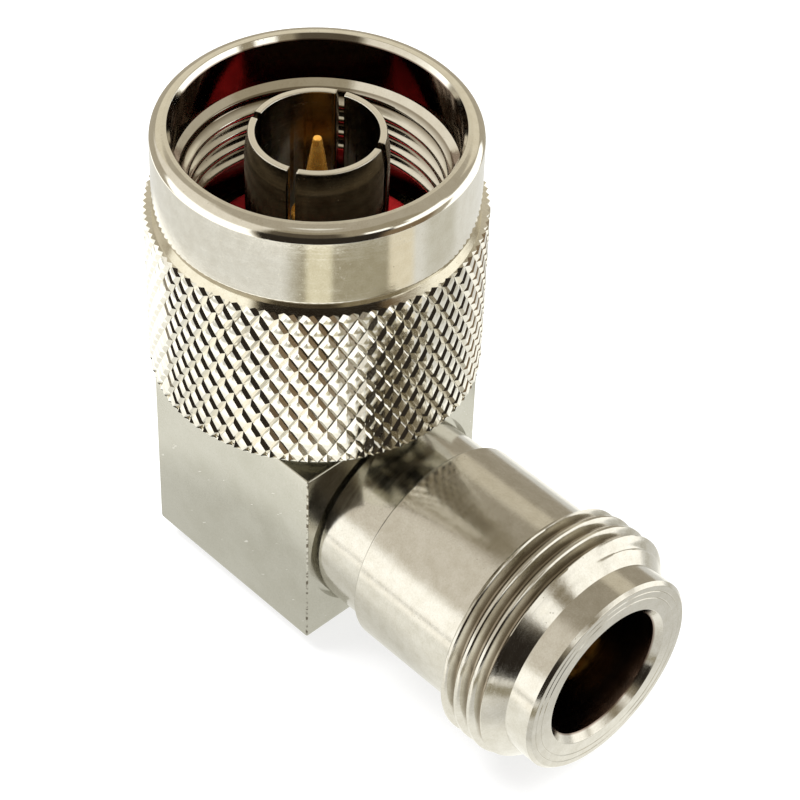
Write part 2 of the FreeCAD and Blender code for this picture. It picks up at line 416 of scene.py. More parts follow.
def apply_modifiers(piece, sharp_angle=SHARP_ANGLE):
    """Turns the piece's modifiers into its mesh."""
    bpy.context.view_layer.update()
    evaluated = piece.evaluated_get(bpy.context.evaluated_depsgraph_get())
    data = bpy.data.meshes.new_from_object(evaluated)
    piece.modifiers.clear()
    piece.data = data
    finish_shading(data, sharp_angle)


def boolean(piece, tool, operation):
    """Joins or cuts with another object, which is then removed."""
    step = piece.modifiers.new(operation, "BOOLEAN")
    step.operation = operation
    step.solver = "EXACT"
    step.object = tool
    apply_modifiers(piece)
    bpy.data.objects.remove(tool)


def turned(name, corners, columns, along_x=False):
    """Object turned from a half section, about the plug's axis or along the jack's."""
    skin = Skin()
    points = rounded_points(corners)
    skin.spin(points + points[:1], columns)
    return add_object(name, skin.mesh(name, along_x))


def cut_slots(piece, count, width, length, top, reach, turn, along_x=False):
    """Radial slots from the open end of a tube."""
    blade_length = length + tool_overlap
    for index in range(count):
        draft = bmesh.new()
        bmesh.ops.create_cube(draft, size=1.0)
        bmesh.ops.scale(draft, vec=(reach, width, blade_length), verts=draft.verts)
        centre = (reach / 2, 0, top - length + blade_length / 2)
        bmesh.ops.translate(draft, vec=centre, verts=draft.verts)
        rotation = Matrix.Rotation(math.radians(turn + index * 360 / count), 3, "Z")
        bmesh.ops.rotate(draft, cent=(0, 0, 0), matrix=rotation, verts=draft.verts)
        for vertex in draft.verts:
            spot = vertex.co
            if along_x:
                spot = Vector((spot.z, spot.x, spot.y + jack_axis))
            vertex.co = spot * MM
        bmesh.ops.recalc_face_normals(draft, faces=draft.faces)
        data = bpy.data.meshes.new("slot")
        draft.to_mesh(data)
        draft.free()
        boolean(piece, add_object("slot", data), "DIFFERENCE")


def soften(piece, width, angle, sharp_angle):
    """Small round on every edge of the piece that is sharper than the angle."""
    step = piece.modifiers.new("soften", "BEVEL")
    step.width = width * MM
    step.segments = 2
    step.limit_method = "ANGLE"
    step.angle_limit = math.radians(angle)
    step.use_clamp_overlap = True
    step.harden_normals = True
    apply_modifiers(piece, sharp_angle)


def place(piece, body, slot, material, *nodes):
    """Puts a piece on its body and lets it stand for its CAD nodes."""
    piece.data.materials.clear()
    piece.data.materials.append(material)
    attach(piece, body)
    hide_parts(*nodes)


def thread_form(height, share):
    """Height of a 60 degree thread with plated-over corners over its root, as a share of its depth."""
    phase = (height / thread_pitch - share) % 1
    flank = (1 - thread_crest_share - thread_root_share) / 2
    distance = abs(phase - 0.5)
    rise = min(1, max(0, (distance - thread_root_share / 2) / flank))
    eased = rise * rise * (3 - 2 * rise)
    return rise + (eased - rise) * thread_round


def square_ring(half, height):
    """Outline of the block at one height: a square with small round corners."""
    points = []
    for quarter in range(4):
        centre_x = (half - edge_round) * (1 if quarter in (0, 3) else -1)
        centre_y = (half - edge_round) * (1 if quarter in (0, 1) else -1)
        for step in range(EDGE_STEPS + 1):
            angle = math.pi / 2 * (quarter + step / EDGE_STEPS)
            x = centre_x + edge_round * math.cos(angle)
            y = centre_y + edge_round * math.sin(angle)
            points.append((x, y, height))
    return points


def make_body_block():
    rings = []
    for step in range(ROUND_STEPS + 1):
        angle = math.pi / 2 * step / ROUND_STEPS
        inset = base_round * (1 - math.sin(angle))
        rings.append(square_ring(block_half - inset, base_round * (1 - math.cos(angle))))
    for step in range(RIM_STEPS + 1):
        angle = math.pi / 2 * step / RIM_STEPS
        inset = rim_round * (1 - math.cos(angle))
        height = block_height - rim_round * (1 - math.sin(angle))
        rings.append(square_ring(block_half - inset, height))
    skin = Skin()
    starts = [skin.add_points(ring) for ring in rings]
    count = len(rings[0])
    for low, high in zip(starts, starts[1:]):
        for index in range(count):
            ahead = (index + 1) % count
            skin.faces.append((low + index, low + ahead, high + ahead, high + index))
    skin.faces.append(tuple(reversed(range(starts[0], starts[0] + count))))
    skin.faces.append(tuple(range(starts[-1], starts[-1] + count)))
    block = add_object("Body_block", skin.mesh("Body_block"))

    boss = turned("boss", [
        (0, block_height - tool_overlap),
        (boss_radius, block_height - tool_overlap),
        (boss_radius, ring_groove_floor),
        (ring_groove_radius, ring_groove_floor),
        (ring_groove_radius, ring_groove_floor + ring_groove_height),
        (boss_radius, ring_groove_floor + ring_groove_height),
        (boss_radius, boss_top, boss_edge),
        (0, boss_top),
    ], ROUND_COLUMNS)
    boolean(block, boss, "UNION")

    ferrule_seat = ferrule_radius + press_gap
    flange_seat = ferrule_flange_radius + press_gap
    upright = turned("upright", [
        (0, cavity_floor),
        (line_radius, cavity_floor),
        (line_radius, boss_top - ferrule_press),
        (ferrule_seat, boss_top - ferrule_press),
        (ferrule_seat, boss_top - ferrule_flange),
        (flange_seat, boss_top - ferrule_flange),
        (flange_seat, boss_top + tool_overlap),
        (0, boss_top + tool_overlap),
    ], BORE_COLUMNS)
    boolean(block, upright, "DIFFERENCE")

    cap_seat = cap_radius + press_gap
    shank_seat = shank_radius + press_gap
    level = turned("level", [
        (0, -block_half - tool_overlap),
        (cap_seat, -block_half - tool_overlap),
        (cap_seat, -block_half + cap_thickness),
        (line_radius, -block_half + cap_thickness),
        (line_radius, shank_start),
        (shank_seat, shank_start),
        (shank_seat, shank_end),
        (relief_radius, shank_end),
        (relief_radius, block_half + tool_overlap),
        (0, block_half + tool_overlap),
    ], SEAT_COLUMNS, along_x=True)
    boolean(block, level, "DIFFERENCE")
    return block


def make_jack_shell():
    def radius_at(height, share):
        """Thread cut into a cylinder that ends in a chamfer behind and a cone in front."""
        outside = thread_radius - thread_depth * (1 - thread_form(height, share))
        if height > thread_end:
            fall = (height - thread_end) / (nose_start - thread_end)
            return min(outside, thread_radius - fall * (thread_radius - nose_radius))
        return min(outside, thread_radius - thread_rear_chamfer + height - barrel_end)

    corners = [
        (nose_radius, nose_start),
        (nose_radius, jack_face - nose_chamfer),
        (nose_radius - nose_chamfer, jack_face, nose_edge),
    ]
    for ring in face_rings:
        corners += [
            (ring + face_ring_outer_flank, jack_face),
            (ring, jack_face - face_ring_depth),
            (ring - face_ring_inner_flank, jack_face),
        ]
    corners += [
        (jack_mouth, jack_face, jack_mouth_edge),
        (jack_throat, jack_face - jack_mouth_depth),
        (jack_bore, jack_face - jack_mouth_depth - jack_lead_in),
        (jack_bore, jack_shoulder),
        (line_radius, jack_shoulder),
        (line_radius, shank_start),
        (shank_radius, shank_start),
        (shank_radius, shank_end),
        (neck_radius, shank_end),
        (neck_radius, neck_end),
        (barrel_radius, neck_end, barrel_edge),
        (barrel_radius, barrel_end),
    ]
    start_ring = [
        (radius_at(barrel_end, column / FINE_COLUMNS), barrel_end) for column in range(FINE_COLUMNS)
    ]
    skin = Skin()
    skin.spin(rounded_points(corners) + [start_ring], FINE_COLUMNS)
    skin.helix(radius_at, barrel_end, nose_start, FINE_COLUMNS)
    data = skin.mesh("Jack_shell", along_x=True, sharp_angle=THREAD_SHARP_ANGLE)
    return add_object("Jack_shell", data)


def make_plug_ferrule():
    ferrule = turned("Plug_ferrule", [
        (ferrule_bore, boss_top - ferrule_press),
        (ferrule_radius, boss_top - ferrule_press),
        (ferrule_radius, boss_top - ferrule_flange),
        (ferrule_flange_radius, boss_top - ferrule_flange),
        (ferrule_flange_radius, boss_top),
        (ferrule_radius, boss_top),
        (ferrule_radius, ferrule_tip - ferrule_taper, ferrule_bulge_round),
        (ferrule_tip_radius, ferrule_tip, ferrule_edge),
        (ferrule_bore, ferrule_tip, ferrule_edge),
    ], FERRULE_COLUMNS)
    cut_slots(
        ferrule, ferrule_slots, ferrule_slot_width, ferrule_slot_length,
        ferrule_tip, 2 * ferrule_radius, ferrule_slot_turn,
    )
    soften(ferrule, ferrule_slot_edge, angle=50, sharp_angle=60)
    return ferrule


def make_plug_pin():
    hole_radius = tail_radius + press_gap
    cross = turned("cross", [
        (0, -cross_hole_reach),
        (hole_radius, -cross_hole_reach),
        (hole_radius, cross_hole_reach),
        (0, cross_hole_reach),
    ], HOLE_COLUMNS, along_x=True)
    pin = turned("Plug_pin", [
        (0, pin_end),
        (pin_base_radius, pin_end),
        (pin_base_radius, pin_shoulder, pin_base_edge),
        (pin_radius, pin_shoulder),
        (pin_radius, pin_tip - pin_taper, pin_taper_round),
        (pin_tip_radius, pin_tip, pin_tip_edge),
        (0, pin_tip),
    ], PIN_COLUMNS)
    boolean(pin, cross, "DIFFERENCE")
    return pin


def make_jack_contact():
    tail_end = contact_radius + press_gap
    contact = turned("Jack_contact", [
        (0, -contact_radius),
        (tail_radius, -contact_radius),
        (tail_radius, tail_end),
        (contact_radius, tail_end),
        (contact_radius, contact_tip, contact_edge),
        (contact_bore, contact_tip, contact_bore_edge),
        (contact_bore, contact_tip - contact_bore_depth),
        (0, contact_tip - contact_bore_depth),
    ], PIN_COLUMNS, along_x=True)
    cut_slots(
        contact, contact_slots, contact_slot_width, contact_slot_length,
        contact_tip, 2 * contact_radius, contact_slot_turn, along_x=True,
    )
    return contact


def make_rear_cap():
    return turned("Rear_cap", [
        (0, -block_half),
        (cap_radius, -block_half, cap_edge),
        (cap_radius, -block_half + cap_thickness),
        (0, -block_half + cap_thickness),
    ], ROUND_COLUMNS, along_x=True)


def make_gasket():
    return turned("Sealing_gasket", [
        (gasket_bore, boss_top),
        (gasket_radius, boss_top, gasket_foot_round),
        (gasket_radius, gasket_top, gasket_round),
        (gasket_bore, gasket_top, gasket_round),
    ], ROUND_COLUMNS)


def add_knurl(skin, bottom, top):
    """Diamonds with rounded crests between crossing grooves.

    Crests and groove crossings take turns on every level. Both ends of the band are cut across
    halfway between two levels. Returns the polygons at the two ends.
    """
    steps = 2 * knurl_count
    levels = 2 * knurl_rows
    level_height = (top - bottom) / levels
    root = knurl_radius - knurl_wall - knurl_crown
    whole_arm = 2 + len(knurl_crown_shares)

    def node(step, level, share=0.0):
        """Point whose share is 0 in a groove and 1 on a crest."""
        below_crest = min(1.0, (1 - share) / (1 - knurl_wall_share))
        wall = knurl_wall * min(1.0, share / knurl_wall_share)
        radius = root + wall + knurl_crown * (1 - below_crest ** 2)
        angle = math.pi * step / knurl_count
        height = bottom + (level + 0.5) * level_height
        return skin.add_points([(radius * math.cos(angle), radius * math.sin(angle), height)])

    def arm(step, level, across, upward):
        """Points from a groove crossing, or from the band's cut end, up towards a crest."""
        shares = [knurl_cut_share, *knurl_crown_shares]
        if 0 <= level + upward < levels:
            shares = [0.0, knurl_wall_share, *knurl_crown_shares]
        return [
            node(step + across * (1 - share), level + upward * (1 - share), share)
            for share in shares
        ]

    def join(first, second, crest, valley):
        """Facets between two arms of a crest, down to the groove crossings that they reach."""
        lower = []
        if len(first) == whole_arm:
            lower.append(first[0])
        if valley is not None:
            lower.append(valley)
        if len(second) == whole_arm:
            lower.append(second[0])
        skin.faces.append((first[-3], *lower, second[-3]))
        for index in (-3, -2):
            skin.faces.append((first[index], second[index], second[index + 1], first[index + 1]))
        skin.faces.append((first[-1], second[-1], crest))

    for level in range(levels):
        for step in range(1 - level % 2, steps, 2):
            crest = node(step, level, 1.0)
            arms = [
                (across, upward, arm(step, level, across, upward))
                for across, upward in ((1, 0), (0, 1), (-1, 0), (0, -1))
            ]
            for here, ahead in zip(arms, arms[1:] + arms[:1]):
                cut = min(len(here[2]), len(ahead[2])) < whole_arm
                across, upward = here[0] + ahead[0], here[1] + ahead[1]
                valley = node(step + across / 2, level + upward / 2) if cut else None
                join(here[2], ahead[2], crest, valley)
    ends = []
    for level, beyond in ((0, -0.5), (levels - 1, levels - 0.5)):
        ridge = [node(step, beyond, knurl_cut_share) for step in range(steps)]
        valley = [node(step + 0.5, beyond) for step in range(steps)]
        for step in range(level % 2, steps, 2):
            crossing = node(step, level)
            skin.faces += [
                (crossing, ridge[step], valley[step]), (crossing, valley[step - 1], ridge[step]),
            ]
        ends.append([corner for pair in zip(ridge, valley) for corner in pair])
    return ends


def make_coupling_nut():
    ledge = rim_radius - rim_foot_inset
    bottom_circle = nut_bore + nut_bottom_chamfer
    foot_top = nut_bottom + knurl_foot

    def radius_at(height, share):
        """Thread cut out from its crests, with a relieved start below the entry's step."""
        if height > nut_thread_top:
            rise = (height - nut_thread_top) / nut_entry_step
            return nut_thread_root + rise * (nut_entry_radius - nut_thread_root)
        start = min(1, (nut_thread_top - height) / nut_thread_start)
        depth = nut_thread_root - nut_thread_crest
        return nut_thread_root - depth * (1 - thread_form(height, share)) * start

    upper = rounded_points([
        (nut_entry_radius, nut_entry_floor),
        (nut_entry_radius, nut_top - nut_mouth_depth),
        (nut_mouth_radius, nut_top, nut_mouth_edge),
        (rim_radius, nut_top, rim_top_round),
        (rim_radius, knurl_top + rim_foot_height, rim_foot_round),
        (ledge, knurl_top),
    ])
    lower = rounded_points([
        (bottom_circle, nut_bottom),
        (nut_bore, nut_bottom + nut_bottom_chamfer),
        (nut_bore, nut_groove_floor),
        (nut_groove_radius, nut_groove_floor),
        (nut_groove_radius, nut_groove_top),
        (nut_bore, nut_groove_top),
        (nut_bore, nut_relief_floor),
        (nut_relief_radius, nut_relief_floor),
        (nut_relief_radius, nut_thread_floor),
    ])
    end_ring = [
        (radius_at(nut_thread_floor, column / FINE_COLUMNS), nut_thread_floor)
        for column in range(FINE_COLUMNS)
    ]
    skin = Skin()
    skin.spin(upper, FINE_COLUMNS)
    skin.spin(lower + [end_ring], FINE_COLUMNS)
    skin.helix(radius_at, nut_thread_floor, nut_entry_floor, FINE_COLUMNS)
    bottom_ring, top_ring = add_knurl(skin, foot_top, knurl_top)
    skin.ring_to_circle(bottom_ring, knurl_foot_radius, foot_top, FINE_COLUMNS)
    skin.spin([
        (knurl_foot_radius, foot_top),
        (knurl_foot_radius, nut_bottom + knurl_foot_edge),
        (knurl_foot_radius - knurl_foot_edge, nut_bottom),
        (bottom_circle, nut_bottom),
    ], FINE_COLUMNS)
    skin.ring_to_circle(top_ring, ledge, knurl_top, FINE_COLUMNS)
    data = skin.mesh("Coupling_nut", sharp_angle=THREAD_SHARP_ANGLE)
    return add_object("Coupling_nut", data)


def colour(tone):
    return (*tone, 1.0)


class Nodes:
    """Short way to write the node tree of a new material or world."""

    def __init__(self, owner):
        owner.use_nodes = True
        self.owner = owner
        self.tree = owner.node_tree

    def node(self, kind, inputs=None, **settings):
        made = self.tree.nodes.new(kind)
        for key, value in settings.items():
            setattr(made, key, value)
        for key, value in (inputs or {}).items():
            self.put(made.inputs[key], value)
        return made

    def put(self, socket, value):
        if isinstance(value, bpy.types.NodeSocket):
            self.tree.links.new(value, socket)
        else:
            socket.default_value = value

    def set(self, **values):
        """Links or values for the sockets of the material's shader."""
        shader = self.tree.nodes["Principled BSDF"]
        for key, value in values.items():
            self.put(shader.inputs[key.replace("_", " ")], value)

    def show(self, shader):
        """Shows another shader than the one that a new material has."""
        self.tree.nodes.remove(self.tree.nodes["Principled BSDF"])
        self.put(self.tree.nodes["Material Output"].inputs["Surface"], shader)

    def math(self, operation, first, second=0.0, third=0.0):
        inputs = {0: first, 1: second, 2: third}
        return self.node("ShaderNodeMath", inputs, operation=operation).outputs[0]

    def product(self, first, *others):
        for other in others:
            first = self.math("MULTIPLY", first, other)
        return first

    def distance(self, first, second):
        """Distance of a point in a plane from the plane's origin."""
        squares = self.math("ADD", self.product(first, first), self.product(second, second))
        return self.math("SQRT", squares)

    def ramp(self, value, low, high, to_low=0.0, to_high=1.0, smooth=False):
        kind = "SMOOTHSTEP" if smooth else "LINEAR"
        inputs = {
            "Value": value, "From Min": low, "From Max": high, "To Min": to_low, "To Max": to_high,
        }
        return self.node("ShaderNodeMapRange", inputs, interpolation_type=kind).outputs["Result"]

    def above(self, value, level, fade, smooth=False):
        """0 up to the level and 1 from the end of the fade on."""
        return self.ramp(value, level, level + fade, smooth=smooth)

    def below(self, value, level, fade, smooth=False):
        """1 up to the level and 0 from the end of the fade on."""
        return self.ramp(value, level, level + fade, 1.0, 0.0, smooth)

    def mix(self, share, first, second):
        made = self.node("ShaderNodeMix", data_type="RGBA")
        self.put(made.inputs["Factor"], share)
        self.put(made.inputs["A"], first)
        self.put(made.inputs["B"], second)
        return made.outputs["Result"]

    def noise(self, vector, scale, detail, w=None):
        inputs = {"Vector": vector, "Scale": scale, "Detail": detail}
        if w is None:
            return self.node("ShaderNodeTexNoise", inputs).outputs["Fac"]
        inputs["W"] = w
        return self.node("ShaderNodeTexNoise", inputs, noise_dimensions="4D").outputs["Fac"]

    def pits(self, vector, scale, edge):
        """1 in small scattered pits and 0 between them."""
        cells = self.node("ShaderNodeTexVoronoi", {"Vector": vector, "Scale": scale})
        return self.ramp(cells.outputs["Distance"], 0.03, edge, 1.0, 0.0, smooth=True)

    def place_mm(self):
        """The point on the piece in millimetres, which moves with the piece."""
        here = self.node("ShaderNodeTexCoord").outputs["Object"]
        inputs = {0: here, "Scale": 1 / MM}
        return self.node("ShaderNodeVectorMath", inputs, operation="SCALE").outputs[0]

    def parts(self, vector):
        return self.node("ShaderNodeSeparateXYZ", {0: vector}).outputs

    def scaled(self, vector, x, y, z):
        inputs = {0: vector, 1: (x, y, z)}
        return self.node("ShaderNodeVectorMath", inputs, operation="MULTIPLY").outputs[0]

    def bump(self, height, depth, normal=None):
        """Relief of some depth in millimetres, over another relief where one is given."""
        inputs = {"Height": height, "Distance": depth * MM, "Strength": 1.0}
        if normal is not None:
            inputs["Normal"] = normal
        return self.node("ShaderNodeBump", inputs).outputs["Normal"]


def new_material(name):
    """Nodes of a new material, and the point on the piece in millimetres."""
    nodes = Nodes(bpy.data.materials.new(name))
    return nodes, nodes.place_mm()


def cloud_and_grain(nodes, cloud, grain):
    return nodes.math("MULTIPLY_ADD", grain, 0.4, nodes.product(cloud, 0.6))


def turned_marks(nodes, here, axis, fineness=7.0, along=0.25):
    """Noise that follows the tool round the axis: fast along the part and its radius, slow round it."""
    parts = nodes.parts(here)
    if axis == "X":
        radius = nodes.distance(parts[1], nodes.math("SUBTRACT", parts[2], jack_axis))
        stretched = nodes.scaled(here, fineness, along, along)
    else:
        radius = nodes.distance(parts[0], parts[1])
        stretched = nodes.scaled(here, along, along, fineness)
    return nodes.noise(stretched, scale=1.0, detail=2.0, w=nodes.product(radius, fineness))


def jack_shade_masks(nodes, here):
    """Painted shade of the jack: 1 on the walls of its bore and 1 in its thread's grooves, where the
    plate is darkened as shade.
    """
    parts = nodes.parts(here)
    radius = nodes.distance(parts[1], nodes.math("SUBTRACT", parts[2], jack_axis))
    bore = nodes.product(
        nodes.below(radius, jack_throat + 0.03, fade=0.07),
        nodes.above(parts[0], block_half, fade=1),
    )
    groove = nodes.product(
        nodes.above(parts[0], barrel_end, fade=0.05),
        nodes.below(parts[0], thread_end, fade=0.05),
        nodes.below(radius, thread_radius - thread_depth + 0.05, fade=thread_depth / 2 - 0.05),
    )
    return bore, groove


def nut_shade_masks(nodes, here):
    """Painted shade of the nut: 1 on its smooth entry bore and 1 in the grooves of the thread below it,
    where the plate is darkened as shade.
    """
    parts = nodes.parts(here)
    radius = nodes.distance(parts[0], parts[1])
    entry = nodes.product(
        nodes.above(parts[2], nut_entry_floor, fade=0.04),
        nodes.below(radius, nut_entry_radius + 0.02, fade=0.03),
    )
    groove = nodes.product(
        nodes.below(parts[2], nut_thread_top, fade=0.04),
        nodes.below(radius, nut_entry_radius, fade=0.1),
        nodes.ramp(radius, nut_thread_crest + 0.2, nut_relief_radius - 0.06),
    )
    return entry, groove


def nickel(name, axis, tint, dark, rough, marks, mottle=0.0012, anisotropic=0.0, shade_masks=None,
           highlight_above=None):
    """Nickel plate between two tones, with tool marks, soft mottling and small pits.

    The depths of the marks and the mottling are in millimetres. A mask function, where one is given,
    says where painted shade darkens the plate: on the walls of a bore and in a thread's grooves.
    Above the top-rim height, where one is given, the plate takes a bright tone, a painted highlight
    on the lit rim.
    """
    # Tones of painted shade for bore walls and thread grooves
    bore_shade_tone = (0.26, 0.205, 0.17)
    groove_shade_tone = (0.16, 0.12, 0.07)
    # Tone of a painted highlight on a lit top rim
    wear_and_highlight_tone = (0.85, 0.82, 0.75)
    pit_tone = (0.3, 0.26, 0.2)
    groove_shade_share = 0.75
    pit_share = 0.35
    pit_depth = 1.5
    nodes, here = new_material(name)
    cloud = nodes.noise(here, scale=1.4, detail=5.0)
    grain = nodes.noise(here, scale=9.0, detail=3.0)
    both = cloud_and_grain(nodes, cloud, grain)
    base = nodes.mix(nodes.ramp(both, 0.35, 0.62), colour(dark), colour(tint))
    # Painted shade: bore walls and thread grooves are darkened towards dark tones
    if shade_masks:
        bore_shade, groove = shade_masks(nodes, here)
        base = nodes.mix(bore_shade, base, colour(bore_shade_tone))
        base = nodes.mix(nodes.product(groove, groove_shade_share), base, colour(groove_shade_tone))
    # Painted highlight: a bright band over the lit top rim
    if highlight_above:
        wear_and_highlight = nodes.above(nodes.parts(here)[2], highlight_above, fade=0.06)
        base = nodes.mix(wear_and_highlight, base, colour(wear_and_highlight_tone))
    pit = nodes.pits(here, scale=2.6, edge=0.11)
    base = nodes.mix(nodes.product(pit, pit_share), base, colour(pit_tone))
    uneven = nodes.noise(here, scale=5.0, detail=4.0)
    height = nodes.math("MULTIPLY_ADD", pit, -pit_depth, uneven)
    lines = turned_marks(nodes, here, axis)
    normal = nodes.bump(lines, marks, nodes.bump(height, mottle))
    rough_by = nodes.math("MULTIPLY_ADD", lines, 0.5, nodes.product(both, 0.5))
    roughness = nodes.ramp(rough_by, 0.35, 0.65, *rough)
    nodes.set(Metallic=1.0, Base_Color=base, Roughness=roughness, Normal=normal)
    if anisotropic:
        tangent = nodes.node("ShaderNodeTangent", direction_type="RADIAL", axis=axis).outputs[0]
        nodes.set(Anisotropic=anisotropic, Tangent=tangent)
    return nodes.owner


def block_nickel():
    """The block's plate: an even satin with faint mill lines, a few scratches and wear on its front
    edge.
    """
    dark_tone = (0.48, 0.47, 0.41)
    light_tone = (0.54, 0.53, 0.475)
    scratch_tone = (0.8, 0.79, 0.74)
    wear_and_highlight_tone = (0.13, 0.11, 0.08)
    mill_share = 0.4
    hollow_depth = 1.2
    nodes, here = new_material("Nickel_block")
    cloud = nodes.noise(here, scale=0.5, detail=4.0)
    grain = nodes.noise(here, scale=7.0, detail=3.0)
    mill = nodes.noise(nodes.scaled(here, 0.35, 0.35, 6.0), scale=1.0, detail=2.0)
    tilt = {"Vector": here, "Rotation": (0.3, 0.62, 0.3)}
    tilted = nodes.node("ShaderNodeMapping", tilt).outputs[0]
    hair = nodes.noise(nodes.scaled(tilted, 0.35, 7.0, 7.0), scale=1.0, detail=1.0)
    scratch = nodes.ramp(hair, 0.755, 0.79, smooth=True)
    both = cloud_and_grain(nodes, cloud, grain)
    base = nodes.mix(nodes.ramp(both, 0.38, 0.62), colour(dark_tone), colour(light_tone))
    base = nodes.mix(scratch, base, colour(scratch_tone))

    parts = nodes.parts(here)
    # Wear: dark dots along the front vertical edge
    from_edge = nodes.math("SUBTRACT", parts[0], parts[1])
    edge = nodes.above(from_edge, 2 * block_half - 0.12, fade=0.05)
    dots = nodes.noise(nodes.scaled(here, 1, 1, 2.4), scale=1.0, detail=4.0)
    wear_and_highlight = nodes.product(edge, nodes.ramp(dots, 0.48, 0.58))
    base = nodes.mix(wear_and_highlight, base, colour(wear_and_highlight_tone))

    pit = nodes.pits(here, scale=1.7, edge=0.08)
    uneven = nodes.math("ADD", nodes.product(mill, mill_share), grain)
    hollows = nodes.product(nodes.math("ADD", pit, scratch), hollow_depth)
    normal = nodes.bump(nodes.math("SUBTRACT", uneven, hollows), 0.0012)
    roughness = nodes.ramp(both, 0.35, 0.65, 0.14, 0.26)
    nodes.set(Metallic=1.0, Base_Color=base, Roughness=roughness, Normal=normal)
    return nodes.owner


def clouded(name, scale, tones, rough, grain, depth, metallic=0.0, spread=0.15):
    """Nodes of a material between two tones and two roughnesses, in clouds of some scale.

    Its grain has a scale too, and a depth in millimetres.
    """
    nodes, here = new_material(name)
    cloud = nodes.noise(here, scale, detail=4.0)
    dark, light = tones
    base = nodes.mix(nodes.ramp(cloud, 0.5 - spread, 0.5 + spread), colour(dark), colour(light))
    roughness = nodes.ramp(cloud, 0.3, 0.7, *rough)
    normal = nodes.bump(nodes.noise(here, grain, detail=3.0), depth)
    nodes.set(Metallic=metallic, Base_Color=base, Roughness=roughness, Normal=normal)
    return nodes


def gold_plate(name, dark, light, metallic):
    """Gold on a centre contact, a little uneven."""
    return clouded(
        name, scale=2.2, tones=(dark, light), rough=(0.2, 0.34), grain=8.0, depth=0.0012,
        metallic=metallic,
    ).owner


def red_silicone():
    """Deep red rubber with a faint bloom and moulded unevenness."""
    tones = ((0.2, 0.006, 0.008), (0.36, 0.014, 0.014))
    nodes = clouded("Red_silicone", 1.1, tones, rough=(0.3, 0.48), grain=6.0, depth=0.004)
    nodes.set(Specular_IOR_Level=0.45)
    return nodes.owner


def ptfe():
    """Waxy white insulator."""
    tones = ((0.78, 0.76, 0.72), (0.88, 0.87, 0.84))
    nodes = clouded(
        "White_insulator", 1.5, tones, rough=(0.42, 0.58), grain=7.0, depth=0.003, spread=0.2,
    )
    nodes.set(Subsurface_Weight=0.12, Subsurface_Scale=0.4 * MM)
    return nodes.owner


def spring_bronze():
    """Plain bronze of the retaining ring, slightly tarnished."""
    tones = ((0.34, 0.2, 0.09), (0.56, 0.38, 0.19))
    return clouded(
        "Spring_bronze", 1.8, tones, rough=(0.28, 0.45), grain=9.0, depth=0.0015, metallic=1.0,
    ).owner


def direction(azimuth, elevation):
    """Unit vector towards an azimuth and elevation, counted as the camera's are."""
    turn = math.radians(azimuth)
    rise = math.radians(elevation)
    level = math.cos(rise)
    return Vector((math.sin(turn) * level, -math.cos(turn) * level, math.sin(rise)))


def wedge_maker(nodes, toward):
    """Makes masks that are 1 within one angle of an azimuth and 0 beyond another."""
    level = nodes.scaled(toward, 1, 1, 0)
    bearing = nodes.node("ShaderNodeVectorMath", {0: level}, operation="NORMALIZE").outputs[0]

    def wedge(azimuth, inner, outer):
        inputs = {0: bearing, 1: direction(azimuth, 0)}
        made = nodes.node("ShaderNodeVectorMath", inputs, operation="DOT_PRODUCT")
        outside = math.cos(math.radians(outer))
        inside = math.cos(math.radians(inner))
        return nodes.ramp(made.outputs["Value"], outside, inside, smooth=True)

    return wedge


def light_world():
    """White room for the camera, even light for the rest, and the surroundings for metal."""
    world = bpy.data.worlds.new("studio")
    bpy.context.scene.world = world
    nodes = Nodes(world)
    toward = nodes.node("ShaderNodeTexCoord").outputs["Generated"]
    upward = nodes.parts(toward)[2]
    wedge = wedge_maker(nodes, toward)

    def edge(elevation, soft, *ends):
        low = math.sin(math.radians(elevation - soft))
        high = math.sin(math.radians(elevation + soft))
        return nodes.ramp(upward, low, high, *ends, smooth=True)

    seen = colour(room_tone)
    for across, (low, high, soft), tone in surroundings:
        share = nodes.product(edge(low, soft), edge(high, soft, 1.0, 0.0))
        if across:
            share = nodes.product(wedge(*across), share)
        seen = nodes.mix(share, seen, colour(tone))

    path = nodes.node("ShaderNodeLightPath").outputs
    even_light = colour((0.72, 0.72, 0.72))
    lit = nodes.mix(path["Is Glossy Ray"], even_light, seen)
    plain = nodes.math("MAXIMUM", path["Is Camera Ray"], path["Is Transmission Ray"])
    background = nodes.tree.nodes["Background"]
    nodes.put(background.inputs["Color"], nodes.mix(plain, lit, colour((1, 1, 1))))
    background.inputs["Strength"].default_value = 1.0


def table_material():
    """The table as metal sees it: dim beside the part, bright further out, with soft streaks."""
    nodes, here = new_material("Table_white")
    wedge = wedge_maker(nodes, here)
    parts = nodes.parts(here)
    radius = nodes.distance(parts[0], parts[1])
    far = colour(table_tone)
    for across, tone in table_streaks:
        far = nodes.mix(wedge(*across), far, colour(tone))
    glare = nodes.mix(wedge(-15, 74, 84), colour(table_tone), colour(table_glare))
    tone = colour(table_shade)
    for start, whole, ring in (
        (14, 19, colour(table_bright)), (27, 31, glare), (38, 40.5, far), (48, 49, glare),
    ):
        tone = nodes.mix(nodes.ramp(radius, start, whole), tone, ring)
    nodes.show(nodes.node("ShaderNodeEmission", {"Color": tone}).outputs[0])
    return nodes.owner


